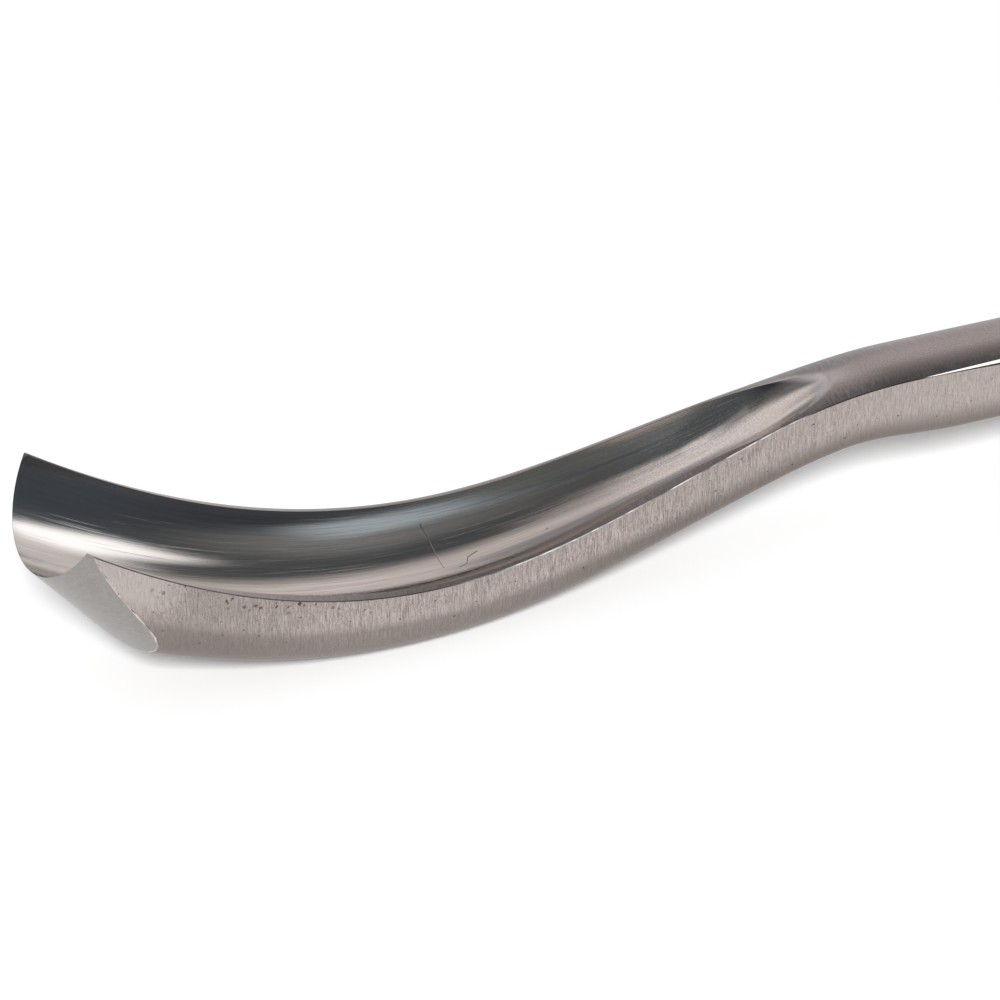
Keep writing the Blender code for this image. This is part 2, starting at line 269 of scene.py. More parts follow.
def under_tilt(x):
    return smooth(x, [(UNDER_ROUND_X, UNDER_TILT_TIP, 0), (NECK_X, UNDER_TILT, 0)])


def under_half(x):
    return half_width(x) - under_radius(x) * (1 - math.sin(under_tilt(x)))


def under_edge(x):
    """Depth below the rim line at which the rounded lower corner meets the underside.

    The side's height is measured to the point of the corner that faces CORNER_SIGHT below level.
    """
    return side_height(x) - under_radius(x) * (math.sin(CORNER_SIGHT) - math.cos(under_tilt(x)))


def under_depth(x, y):
    """Depth of the crowned underside below the rim line."""
    reach = under_half(x)
    return under_edge(x) + reach * math.tan(under_tilt(x)) / 2 * (1 - (y / reach) ** 2)


def chamfer(x):
    """Worn edge between the top and the sides, opening to a chamfer along the shank."""
    along = max(0, x - CHAMFER_X) / (BOLSTER_FRONT_X - CHAMFER_X)
    return BROKEN_EDGE + (SHANK_CHAMFER - BROKEN_EDGE) * min(1, along)


def flute_depth(x):
    fall = (DEPTH_BACK - DEPTH_BELLY) / (DEPTH_BACK_X - DEPTH_X)
    knots = [
        (0, DEPTH_TIP, -DEPTH_TAPER),
        (DEPTH_X, DEPTH_BELLY, fall),
        (DEPTH_BACK_X, DEPTH_BACK, 2 * fall),
        (RUNOUT_X, RUNOUT_DEPTH, -RUNOUT_RISE),
        (FLUTE_END_X, 0, -RUNOUT_RISE),
    ]
    return smooth(x, knots)


def flute_radius(x):
    """Radius of the hollow whose edges leave the lands standing beside the rim."""
    x = min(x, LAND_END_X)
    land = smooth(x, [
        (0, LAND_TIP, 0),
        (LAND_X, LAND_WIDTH, 0),
        (NARROW_X, LAND_WIDTH - NARROW_SHIFT, 0),
        (WIDE_X, LAND_WIDTH, 0),
        (LAND_END_X, LAND_END, 0),
    ])
    reach = half_width(x) - land
    depth = crown(x, reach) - crown(x, 0) + flute_depth(x)
    return (reach ** 2 + depth ** 2) / (2 * depth)


def flute_reach(x):
    """Half width of the flute where its hollow meets the crown."""
    crown_radius = half_width(x) / math.sin(crown_tilt(x))
    hollow_radius = flute_radius(x)
    apart = crown_radius + hollow_radius - flute_depth(x)
    along = (crown_radius ** 2 - hollow_radius ** 2 + apart ** 2) / (2 * apart)
    return math.sqrt(max(0, crown_radius ** 2 - along ** 2))


def flute_drift(x):
    """Offset of the flute, which leaves a narrower near land at the belly and ends off the middle."""
    return smooth(x, [
        (LAND_X, 0, 0),
        (NARROW_X, -NARROW_SHIFT, 0),
        (WIDE_X, 0, 0),
        (DEPTH_BACK_X, 0, 0),
        (FLUTE_END_X, NOSE_DRIFT, 0),
    ])


def hollow_depth(x, y):
    """Depth of the flute under the crown, below nought where the crown is untouched."""
    hollow_radius = flute_radius(x)
    floor = crown(x, 0) - flute_depth(x)
    across = min(abs(y - flute_drift(x)), hollow_radius)
    return crown(x, y) - floor - hollow_radius + math.sqrt(hollow_radius ** 2 - across ** 2)


def rim_knots(shank_rise):
    return [(0, TIP_RISE, -EDGE_FALL), (BELLY_X, 0, 0), (NECK_END_X, shank_rise, 0)]


# Heights: the belly and the handle's lower flat stand on the same plane
SHANK_MIDDLE = (crown(NECK_END_X, 0) - under_depth(SHANK_SIDE_X, 0)) / 2
BELLY_RIM_Z = -min(smooth(x, rim_knots(0)) - under_depth(x, 0)
                   for x in np.linspace(BELLY_X / 2, BELLY_X, BELLY_STATIONS))
AXIS_Z = HANDLE_FLATS / 2
SHANK_RISE = AXIS_Z - SHANK_MIDDLE - BELLY_RIM_Z

# Lengths along the handle, and the middle of the whole tool
NOSE_X = BOLSTER_BACK_X + FIT_GAP
SHOULDER_X = NOSE_X + NOSE_LENGTH
SWELL_X = SHOULDER_X + SWELL_LENGTH
TAPER_X = SWELL_X + STRAIGHT_LENGTH
BUTT_X = TAPER_X + BUTT_TAPER_LENGTH
TANG_END_X = BOLSTER_BACK_X + TANG_LENGTH
RIM_PITCH = math.atan(EDGE_FALL)
EDGE_PITCH = RIM_PITCH - EDGE_LEAN
EDGE_DEPTH = DEPTH_TIP - crown(0, 0)
EDGE_X = -EDGE_DEPTH * math.sin(RIM_PITCH) - EDGE_FLAT * math.sin(EDGE_PITCH)
MIDDLE_X = (EDGE_X + BUTT_X) / 2


def rim(x):
    """Height of the rim line, running straight on ahead of the cutting corners."""
    return BELLY_RIM_Z + smooth(x, rim_knots(SHANK_RISE)) - EDGE_FALL * min(x, 0)


def place(x, y, v):
    """World point of a section point, the section standing square to the rim line."""
    step = 0.00001
    pitch = math.atan2(rim(x + step) - rim(x - step), 2 * step)
    return Vector((x - math.sin(pitch) * v - MIDDLE_X, y, rim(x) + math.cos(pitch) * v))


# Modelling helpers

def deselect():
    bpy.ops.object.select_all(action="DESELECT")


def pick(obj):
    deselect()
    obj.select_set(True)
    bpy.context.view_layer.objects.active = obj


def named(name):
    """Name the primitive just added, and its mesh, and apply its place."""
    obj = bpy.context.object
    obj.name = name
    obj.data.name = name
    bpy.ops.object.transform_apply(location=True, rotation=True, scale=True)
    return obj


def close_up(obj, fill_ends=True):
    """Merge doubled points, fill open ends where asked and turn all faces outwards."""
    pick(obj)
    bpy.ops.object.mode_set(mode="EDIT")
    bpy.ops.mesh.select_all(action="SELECT")
    bpy.ops.mesh.remove_doubles(threshold=MERGE_DISTANCE)
    if fill_ends:
        bpy.ops.mesh.select_mode(type="EDGE")
        bpy.ops.mesh.select_all(action="DESELECT")
        bpy.ops.mesh.select_non_manifold()
        bpy.ops.mesh.fill_holes(sides=0)
    bpy.ops.mesh.select_all(action="SELECT")
    bpy.ops.mesh.normals_make_consistent(inside=False)
    bpy.ops.mesh.select_mode(type="VERT")
    bpy.ops.object.mode_set(mode="OBJECT")


def rolled_sheet(name, rows, columns, point, flat):
    """Grid sheet with its points moved to point(row, column), and the row and column of each.

    Its UV map is flat(row, column, middle), where middle is the middle column of the face.
    """
    deselect()
    bpy.ops.mesh.primitive_grid_add(x_subdivisions=rows - 1, y_subdivisions=columns - 1, size=2)
    sheet = named(name)
    mesh = sheet.data
    where = []
    for vert in mesh.vertices:
        row = round((vert.co.x + 1) / 2 * (rows - 1))
        column = round((vert.co.y + 1) / 2 * (columns - 1))
        where.append((row, column))
    layer = mesh.uv_layers[0]
    layer.name = "unrolled"
    for face in mesh.polygons:
        middle = sum(where[v][1] for v in face.vertices) / len(face.vertices)
        for loop in face.loop_indices:
            row, column = where[mesh.loops[loop].vertex_index]
            layer.uv[loop].vector = flat(row, column, middle)
    for vert, (row, column) in zip(mesh.vertices, where):
        vert.co = point(row, column)
    return sheet, where


def apply_boolean(obj, tool, operation):
    pick(obj)
    cut = obj.modifiers.new(tool.name, "BOOLEAN")
    cut.operation = operation
    cut.object = tool
    cut.solver = "EXACT"
    cut.material_mode = "TRANSFER"
    bpy.ops.object.modifier_apply(modifier=cut.name)
    bpy.data.objects.remove(tool)


def finish_smooth(obj, angle):
    pick(obj)
    bpy.ops.object.shade_smooth_by_angle(angle=angle)


# Node helpers

def put(tree, kind, settings=None, **inputs):
    """Add a node, set its options, and set or link its inputs, named with _ for a space."""
    made = tree.nodes.new(kind)
    for key, value in (settings or {}).items():
        setattr(made, key, value)
    for key, value in inputs.items():
        socket = made.inputs[int(key[1:])] if key[1:].isdigit() else made.inputs[key.replace("_", " ")]
        if isinstance(value, bpy.types.NodeSocket):
            tree.links.new(value, socket)
        else:
            socket.default_value = value
    return made


def maths(tree, operation, *values):
    inputs = {f"i{n}": value for n, value in enumerate(values)}
    return put(tree, "ShaderNodeMath", {"operation": operation}, **inputs).outputs[0]


def ramp(tree, value, low, high, start=0, end=1):
    """Smooth step of a value between two limits."""
    step = put(tree, "ShaderNodeMapRange", {"interpolation_type": "SMOOTHSTEP"}, Value=value)
    step.inputs["From Min"].default_value = low
    step.inputs["From Max"].default_value = high
    step.inputs["To Min"].default_value = start
    step.inputs["To Max"].default_value = end
    return step.outputs[0]


def times(tree, *values):
    """Product of all the values."""
    product = values[0]
    for value in values[1:]:
        product = maths(tree, "MULTIPLY", product, value)
    return product


def band(tree, value, rise, fall, most=1):
    """Mask that rises between two limits of a value and falls again between two others."""
    return times(tree, ramp(tree, value, *rise), ramp(tree, value, *fall, most, 0))


def blend(tree, factor, first, second):
    """Colour between two others."""
    return put(tree, "ShaderNodeMix", {"data_type": "RGBA"}, i0=factor, i6=first, i7=second).outputs[2]


def blend_value(tree, factor, first, second):
    return put(tree, "ShaderNodeMix", {"data_type": "FLOAT"}, i0=factor, i2=first, i3=second).outputs[0]


def layered(tree, colour, *layers):
    """Lay colours over a first one, each through its own mask."""
    for mask, over in layers:
        colour = blend(tree, mask, colour, over)
    return colour


def noise(tree, vector, scale, detail=3, roughness=0.6):
    stretched = put(tree, "ShaderNodeVectorMath", {"operation": "MULTIPLY"}, i0=vector, i1=scale)
    made = put(tree, "ShaderNodeTexNoise", None, Vector=stretched.outputs[0], Scale=1,
               Detail=detail, Roughness=roughness)
    return made.outputs["Fac"]


def new_group(name, inputs, outputs):
    """Shader node group with named value or vector sockets."""
    group = bpy.data.node_groups.new(name, "ShaderNodeTree")
    for label, kind, value in inputs:
        socket = group.interface.new_socket(label, in_out="INPUT", socket_type=kind)
        socket.default_value = value
    for label, kind in outputs:
        group.interface.new_socket(label, in_out="OUTPUT", socket_type=kind)
    return group, group.nodes.new("NodeGroupInput"), group.nodes.new("NodeGroupOutput")


def use_group(tree, group, **inputs):
    return put(tree, "ShaderNodeGroup", {"node_tree": group}, **inputs)


def new_material(name, **constants):
    """Material with its Principled shader, whose plain values are set on its own sockets."""
    made = bpy.data.materials.new(name)
    made.use_nodes = True
    shader = made.node_tree.nodes["Principled BSDF"]
    for key, value in constants.items():
        shader.inputs[key.replace("_", " ")].default_value = value
    return made, made.node_tree, shader


def millimetres(tree):
    """Object coordinates in millimetres."""
    coords = put(tree, "ShaderNodeTexCoord")
    return put(tree, "ShaderNodeVectorMath", {"operation": "SCALE"}, i0=coords.outputs["Object"],
               Scale=MILLIMETRES).outputs[0]


def unrolled(tree):
    """Place on the unrolled surface: millimetres along in X, share of the way across in Y."""
    return put(tree, "ShaderNodeUVMap", {"uv_map": "unrolled"}).outputs[0]


def ways(tree):
    """Millimetres along the unrolled surface, and the share of the way across it."""
    flat = put(tree, "ShaderNodeSeparateXYZ", None, Vector=unrolled(tree))
    return flat.outputs[0], flat.outputs[1]


def dress(tree, shader, colour, roughness):
    """Wire a colour and a roughness to the shader of a finish."""
    tree.links.new(colour, shader.inputs["Base Color"])
    tree.links.new(roughness, shader.inputs["Roughness"])


def bump(tree, shader, height, depth):
    """Wire a height to the shader of a finish, as a relief with a depth in metres."""
    made = put(tree, "ShaderNodeBump", None, Height=height, Distance=depth)
    tree.links.new(made.outputs[0], shader.inputs["Normal"])


# Shared effects

def grinding_group():
    """Fine parallel lines, running along the direction with the smaller scale."""
    group, given, out = new_group(
        "grinding_lines",
        [("Vector", "NodeSocketVector", (0, 0, 0)), ("Coarse", "NodeSocketVector", (3, 3, 0.2)),
         ("Fine", "NodeSocketVector", (9, 9, 0.5))],
        [("Lines", "NodeSocketFloat")])
    coarse = noise(group, given.outputs["Vector"], given.outputs["Coarse"], 2, 0.5)
    fine = noise(group, given.outputs["Vector"], given.outputs["Fine"], 3, 0.65)
    both = maths(group, "ADD", times(group, coarse, 0.45), times(group, fine, 0.55))
    group.links.new(both, out.inputs["Lines"])
    return group


def pit_group():
    """Scattered small pits, as a mask that is one in a pit."""
    group, given, out = new_group(
        "pits",
        [("Vector", "NodeSocketVector", (0, 0, 0)), ("Spacing", "NodeSocketFloat", 1.0),
         ("Size", "NodeSocketFloat", 0.1)],
        [("Pits", "NodeSocketFloat")])
    ragged = put(group, "ShaderNodeTexNoise", None, Vector=given.outputs["Vector"], Scale=4, Detail=3)
    moved = put(group, "ShaderNodeVectorMath", {"operation": "MULTIPLY_ADD"}, i0=ragged.outputs["Color"],
                i1=(0.45, 0.45, 0.45), i2=given.outputs["Vector"])
    apart = put(group, "ShaderNodeVectorMath", {"operation": "DIVIDE"}, i0=moved.outputs[0],
                i1=given.outputs["Spacing"])
    cells = put(group, "ShaderNodeTexVoronoi", None, Vector=apart.outputs[0], Scale=1)
    which = put(group, "ShaderNodeSeparateColor", None, Color=cells.outputs["Color"])
    size = times(group, given.outputs["Size"], ramp(group, which.outputs[0], 0.35, 1))
    near = maths(group, "DIVIDE", cells.outputs["Distance"], maths(group, "MAXIMUM", size, 0.0001))
    group.links.new(ramp(group, near, 0.6, 1.1, 1, 0), out.inputs["Pits"])
    return group


def scratch_group():
    """One straight scratch between two places on an unrolled surface, as a mask."""
    group, given, out = new_group(
        "scratch",
        [("Vector", "NodeSocketVector", (0, 0, 0)), ("From", "NodeSocketVector", (0, 0, 0)),
         ("To", "NodeSocketVector", (1, 0, 0)), ("Width", "NodeSocketFloat", 0.1)],
        [("Scratch", "NodeSocketFloat")])

    def vector(operation, first, second):
        return put(group, "ShaderNodeVectorMath", {"operation": operation}, i0=first, i1=second)

    length = vector("SUBTRACT", given.outputs["To"], given.outputs["From"]).outputs[0]
    offset = vector("SUBTRACT", given.outputs["Vector"], given.outputs["From"]).outputs[0]
    along = maths(group, "DIVIDE", vector("DOT_PRODUCT", offset, length).outputs["Value"],
                  vector("DOT_PRODUCT", length, length).outputs["Value"])
    along = maths(group, "MINIMUM", maths(group, "MAXIMUM", along, 0), 1)
    nearest = put(group, "ShaderNodeVectorMath", {"operation": "SCALE"}, i0=length, Scale=along).outputs[0]
    apart = vector("DISTANCE", offset, nearest).outputs["Value"]
    share = maths(group, "DIVIDE", apart, given.outputs["Width"])
    group.links.new(ramp(group, share, 0.3, 1, 1, 0), out.inputs["Scratch"])
    return group


# Finishes

def ground_side_finish(lines, pits):
    """Sides ground across, with fine upright lines, dark pits and painted shade on the lower part."""
    made, tree, shader = new_material("ground_side", Metallic=1)
    where = millimetres(tree)
    along, down = ways(tree)
    grain = use_group(tree, lines, Vector=where, Coarse=(7.5, 1.5, 0.6), Fine=(17, 4, 2.5)).outputs[0]
    specks = noise(tree, where, (11, 11, 11), 2)
    grain = maths(tree, "ADD", times(tree, grain, 0.7), times(tree, specks, 0.3))
    grain = blend_value(tree, ramp(tree, down, 0.5, 1.1, 0, 0.55), grain, 0.5)
    steel = blend(tree, ramp(tree, grain, 0.37, 0.63), (0.205, 0.175, 0.163, 1), (0.67, 0.581, 0.54, 1))

    cloud = ramp(tree, noise(tree, where, (0.12, 0.12, 0.3), 3), 0.35, 0.7, 0, 0.3)
    shank = ramp(tree, along, 60, 105, 0, 0.4)
    dulled = band(tree, along, (8, 12), (15, 28), 0.32)
    fresh = times(tree, ramp(tree, along, 6, 11.5, 0.5, 0), ramp(tree, down, 0.45, 0.8, 1, 0))
    # Painted shade: the sides darken towards the bottom, and from higher up along the neck, in place of the
    # shadowed floor they reflect
    lower = maths(tree, "ADD", down, ramp(tree, along, 40, 70, 0, 0.15))
    shaded = ramp(tree, lower, 0.7, 1.22, 0, 0.66)
    small = use_group(tree, pits, Vector=where, Spacing=0.8, Size=0.18).outputs[0]
    small = times(tree, small, ramp(tree, noise(tree, where, (0.14, 0.3, 0.3), 2), 0.32, 0.52))
    large = use_group(tree, pits, Vector=where, Spacing=0.62, Size=0.52).outputs[0]
    large = times(tree, large, band(tree, along, (4, 10), (23, 31)), ramp(tree, down, 0.12, 0.5, 1, 0))
    colour = layered(
        tree, steel,
        (cloud, (0.38, 0.335, 0.315, 1)),
        (shank, (0.6, 0.53, 0.5, 1)),
        (dulled, (0.27, 0.236, 0.215, 1)),
        (fresh, (0.68, 0.615, 0.585, 1)),
        (shaded, (0.1, 0.086, 0.078, 1)),
        (times(tree, small, 0.75), (0.09, 0.075, 0.065, 1)),
        (times(tree, large, 0.9), (0.07, 0.047, 0.03, 1)))
    dress(tree, shader, colour, ramp(tree, grain, 0.25, 0.75, 0.34, 0.46))
    holes = maths(tree, "MAXIMUM", small, large)
    bump(tree, shader, maths(tree, "SUBTRACT", times(tree, grain, 0.5), holes), 0.00002)
    return made


def flute_colour(tree, station, share, hollow, along):
    """Polished steel, pale at the tip, worn at the belly and tinted by heat at the end, with painted shade
    along the lower cutting edge at the tip.
    """
    steel = blend(tree, ramp(tree, along, 0.3, 0.7), (0.42, 0.385, 0.365, 1), (0.56, 0.51, 0.485, 1))
    tip = ramp(tree, station, 6, 20, 0.55, 0)
    # Painted shade along the lower cutting edge at the tip, in place of the blade's own dark reflection in
    # the hollow
    painted_tip_shade = times(tree, ramp(tree, station, 4, 9, 1, 0), ramp(tree, share, 0.455, 0.53, 0, 0.62))
    worn = band(tree, station, (32, 44), (57, 66), 0.4)
    clean = band(tree, station, (60, 70), (82, 87), 0.45)
    grit = ramp(tree, noise(tree, millimetres(tree), (5, 5, 5), 3), 0.4, 0.62, 0.27, 0)
    neck = times(tree, ramp(tree, station, 45, 70), grit)
    straw = band(tree, station, (75, 81), (82, 86), 0.18)
    heat = times(tree, ramp(tree, station, 76, 85, 0, 0.75), ramp(tree, hollow, 0.2, 0.9, 1, 0))
    scale = times(tree, ramp(tree, station, 78, 82.5), ramp(tree, share, 0.3, 0.4, 0.85, 0))
    return layered(
        tree, steel,
        (tip, (0.73, 0.705, 0.69, 1)),
        (painted_tip_shade, (0.2, 0.18, 0.17, 1)),
        (worn, (0.34, 0.308, 0.29, 1)),
        (clean, (0.72, 0.69, 0.68, 1)),
        (neck, (0.28, 0.25, 0.235, 1)),
        (straw, (0.53, 0.44, 0.36, 1)),
        (heat, (0.31, 0.31, 0.35, 1)),
        (scale, (0.09, 0.09, 0.095, 1)))


def brushed_colour(tree, station, share, hollow, across, ending):
    """Brushed steel of the lands and the shank's top, frosted round the end of the flute, with painted shade
    on the near half of the shank's top.
    """
    steel = blend(tree, ramp(tree, across, 0.3, 0.7), (0.235, 0.207, 0.204, 1), (0.43, 0.381, 0.377, 1))
    tip = ramp(tree, station, 4, 24, 0.6, 0)
    # Painted shade: the near half of the shank's top is darkened, as in its dark reflection
    painted_shank_shade = times(tree, ramp(tree, station, 88, 94), ramp(tree, share, 0.45, 0.8, 0, 0.42))
    land = band(tree, station, (20, 34), (76, 84), 0.15)
    frost = times(tree, ending, ramp(tree, station, 86, 91, 0.75, 0), ramp(tree, hollow, -0.35, 0.05))
    return layered(
        tree, steel,
        (tip, (0.6, 0.55, 0.53, 1)),
        (painted_shank_shade, (0.14, 0.122, 0.117, 1)),
        (land, (0.12, 0.103, 0.096, 1)),
        (frost, (0.53, 0.51, 0.515, 1)))


def flute_marks(tree, flat, station, pits, scratch):
    """Mask of single scratches and small pits in the flute."""
    surface = put(tree, "ShaderNodeVectorMath", {"operation": "MULTIPLY"}, i0=flat,
                  i1=(1, TOP_GIRTH, 0)).outputs[0]
    spots = use_group(tree, pits, Vector=surface, Spacing=3.2, Size=0.06).outputs[0]
    marks = times(tree, spots, ramp(tree, station, 30, 50))
    for start, end in FLUTE_SCRATCHES:
        mark = use_group(tree, scratch, Vector=surface, From=(*start, 0), To=(*end, 0), Width=SCRATCH_WIDTH)
        marks = maths(tree, "MAXIMUM", marks, mark.outputs[0])
    return marks


def top_finish(lines, pits, scratch):
    """Flute polished along its length, beside lands and a shank top brushed across, with a painted highlight
    along the flute's near rim.
    """
    made, tree, shader = new_material("top_and_flute", Metallic=1)
    flat = unrolled(tree)
    station, share = ways(tree)
    hollow = put(tree, "ShaderNodeAttribute", {"attribute_name": "hollow"}).outputs["Fac"]
    along = use_group(tree, lines, Vector=flat, Coarse=(0.06, 60, 0), Fine=(0.15, 300, 0)).outputs[0]
    across = use_group(tree, lines, Vector=flat, Coarse=(5, 20, 0), Fine=(13, 50, 0)).outputs[0]
    hairs = ramp(tree, noise(tree, flat, (0.05, 260, 0), 2), 0.6, 0.74)

    ending = ramp(tree, station, 79, 85)
    polished = maths(tree, "DIVIDE", maths(tree, "SUBTRACT", hollow, times(tree, ending, 0.12)),
                     maths(tree, "ADD", times(tree, ending, 3), 1))
    fluted = ramp(tree, polished, 0.0, 0.14)
    # Painted highlight: a pale, rougher line along the near rim of the flute, where its rounded edge would
    # catch the light
    painted_rim_highlight = times(tree, band(tree, hollow, (-0.05, -0.01), (0.05, 0.14)), ramp(tree, share, 0.5, 0.6),
                     band(tree, station, (26, 34), (76, 82)))
    marks = flute_marks(tree, flat, station, pits, scratch)

    colour = layered(
        tree, brushed_colour(tree, station, share, hollow, across, ending),
        (fluted, flute_colour(tree, station, share, hollow, along)),
        (painted_rim_highlight, (0.8, 0.75, 0.72, 1)),
        (times(tree, marks, 0.45), (0.08, 0.078, 0.08, 1)))
    brushed_rough = ramp(tree, across, 0.25, 0.75, 0.28, 0.4)
    flute_rough = maths(tree, "ADD", ramp(tree, along, 0.25, 0.75, 0.08, 0.16), times(tree, hairs, 0.08))
    rough = blend_value(tree, fluted, brushed_rough, flute_rough)
    dress(tree, shader, colour, maths(tree, "ADD", rough, times(tree, painted_rim_highlight, 0.3)))
    lie = maths(tree, "ADD", times(tree, along, 0.65), times(tree, hairs, 0.35))
    height = blend_value(tree, fluted, across, lie)
    bump(tree, shader, maths(tree, "SUBTRACT", height, marks), 0.000012)
    return made


def bevel_finish(lines):
    """Bevel honed smooth, with faint lines round the edge."""
    made, tree, shader = new_material("honed_bevel", Metallic=1)
    where = millimetres(tree)
    grain = use_group(tree, lines, Vector=where, Coarse=(2.5, 0.4, 2.5), Fine=(9, 0.8, 9)).outputs[0]
    colour = blend(tree, ramp(tree, grain, 0.3, 0.7), (0.29, 0.273, 0.266, 1), (0.365, 0.346, 0.338, 1))
    dress(tree, shader, colour, ramp(tree, grain, 0.2, 0.8, 0.34, 0.4))
    bump(tree, shader, grain, 0.000004)
    return made


def edge_wear_and_highlight_finish():
    """Narrow edge with a painted highlight beside the flute and along the shank's chamfer, dull elsewhere.
    """
    made, tree, shader = new_material("edge_wear_and_highlight")
    station, share = ways(tree)
    rubbed = noise(tree, millimetres(tree), (0.5, 0.5, 0.5), 4)
    # Painted highlight: a broken pale line along the edge beside the flute, and a pale chamfer along the
    # shank
    line = times(tree, band(tree, station, (34, 48), (80, 86)), ramp(tree, rubbed, 0.25, 0.7, 0.2, 0.85))
    shank = times(tree, ramp(tree, station, 96, 98), ramp(tree, share, 0.6, 0.66, 1, 0))
    painted_edge_highlight = maths(tree, "MAXIMUM", line, shank)
    colour = layered(
        tree, (0.16, 0.14, 0.13, 1),
        (ramp(tree, station, 18, 40, 0.75, 0), (0.42, 0.37, 0.345, 1)),
        (painted_edge_highlight, (0.92, 0.89, 0.87, 1)))
    dress(tree, shader, colour, ramp(tree, rubbed, 0.3, 0.7, 0.4, 0.28))
    # Less metallic where the highlight is painted, so that it lights up under the lamp like paint
    tree.links.new(ramp(tree, painted_edge_highlight, 0, 1, 1, 0.2), shader.inputs["Metallic"])
    return made


def heel_finish():
    """Pale line left by the stone where the bevel ends."""
    made, tree, shader = new_material("heel_line", Metallic=1)
    rubbed = noise(tree, millimetres(tree), (0.5, 0.5, 0.5), 3)
    colour = blend(tree, ramp(tree, rubbed, 0.35, 0.65), (0.42, 0.372, 0.345, 1), (0.72, 0.645, 0.585, 1))
    dress(tree, shader, colour, ramp(tree, rubbed, 0.3, 0.7, 0.45, 0.35))
    return made


def bolster_finish(lines):
    """Bolster, its cove and the tang, with fine rings round the axis."""
    made, tree, shader = new_material("turned_steel", Metallic=1)
    where = millimetres(tree)
    rings = use_group(tree, lines, Vector=where, Coarse=(2, 0.02, 0.02), Fine=(8, 0.05, 0.05)).outputs[0]
    colour = blend(tree, ramp(tree, rings, 0.3, 0.7), (0.34, 0.31, 0.295, 1), (0.48, 0.44, 0.42, 1))
    dress(tree, shader, colour, ramp(tree, rings, 0.2, 0.8, 0.28, 0.42))
    bump(tree, shader, rings, 0.000015)
    return made


def brass_finish(lines, pits):
    """Turned brass with fine rings, dulled in patches."""
    made, tree, shader = new_material("turned_brass", Metallic=1)
    where = millimetres(tree)
    rings = use_group(tree, lines, Vector=where, Coarse=(1.5, 0.02, 0.02), Fine=(7, 0.05, 0.05)).outputs[0]
    cloud = noise(tree, where, (0.25, 0.25, 0.25), 4)
    specks = use_group(tree, pits, Vector=where, Spacing=2.2, Size=0.1).outputs[0]
    brass = blend(tree, ramp(tree, rings, 0.3, 0.7), (0.66, 0.45, 0.17, 1), (0.8, 0.58, 0.27, 1))
    colour = layered(
        tree, brass,
        (ramp(tree, cloud, 0.45, 0.72, 0, 0.55), (0.42, 0.27, 0.11, 1)),
        (times(tree, specks, 0.5), (0.2, 0.12, 0.05, 1)))
    dress(tree, shader, colour, ramp(tree, cloud, 0.3, 0.75, 0.22, 0.42))
    bump(tree, shader, rings, 0.00002)
    return made


def growth_ring(tree, where):
    """Share of the way through each growth ring, whose heart lies outside the handle."""
    def vector(operation, first, second):
        return put(tree, "ShaderNodeVectorMath", {"operation": operation}, i0=first, i1=second).outputs[0]

    slow = vector("MULTIPLY", where, (0.012, 0.05, 0.05))
    drift = put(tree, "ShaderNodeTexNoise", None, Vector=slow, Scale=1, Detail=3).outputs["Color"]
    bent = vector("ADD", vector("MULTIPLY", drift, (0, 5, 5)), where)
    across = vector("MULTIPLY", vector("SUBTRACT", bent, (0, -34, -12)), (0, 1, 1))
    out = put(tree, "ShaderNodeVectorMath", {"operation": "LENGTH"}, i0=across).outputs["Value"]
    return maths(tree, "FRACT", maths(tree, "DIVIDE", out, 2.3))


def ash_finish():
    """Oiled ash, with growth rings running along the handle, open pores and fine fibre."""
    made, tree, shader = new_material("oiled_ash", Metallic=0, Coat_Roughness=0.3, Coat_Weight=0.12)
    where = millimetres(tree)
    ring = growth_ring(tree, where)
    late = band(tree, ring, (0.3, 0.9), (0.94, 1))
    early = ramp(tree, ring, 0.05, 0.4, 1, 0)
    pores = ramp(tree, noise(tree, where, (0.3, 7, 7), 2, 0.6), 0.56, 0.66)
    pores = times(tree, pores, ramp(tree, early, 0, 1, 0.25, 1))
    fibre = noise(tree, where, (0.07, 3.2, 3.2), 4, 0.65)
    colour = layered(
        tree, (0.47, 0.285, 0.135, 1),
        (late, (0.28, 0.15, 0.064, 1)),
        (ramp(tree, fibre, 0.35, 0.65, 0, 0.45), (0.36, 0.205, 0.09, 1)),
        (times(tree, pores, 0.7), (0.12, 0.062, 0.026, 1)))
    dress(tree, shader, colour, ramp(tree, fibre, 0.25, 0.75, 0.4, 0.56))
    bump(tree, shader, maths(tree, "SUBTRACT", times(tree, fibre, 0.4), pores), 0.00005)
    return made


# Blade

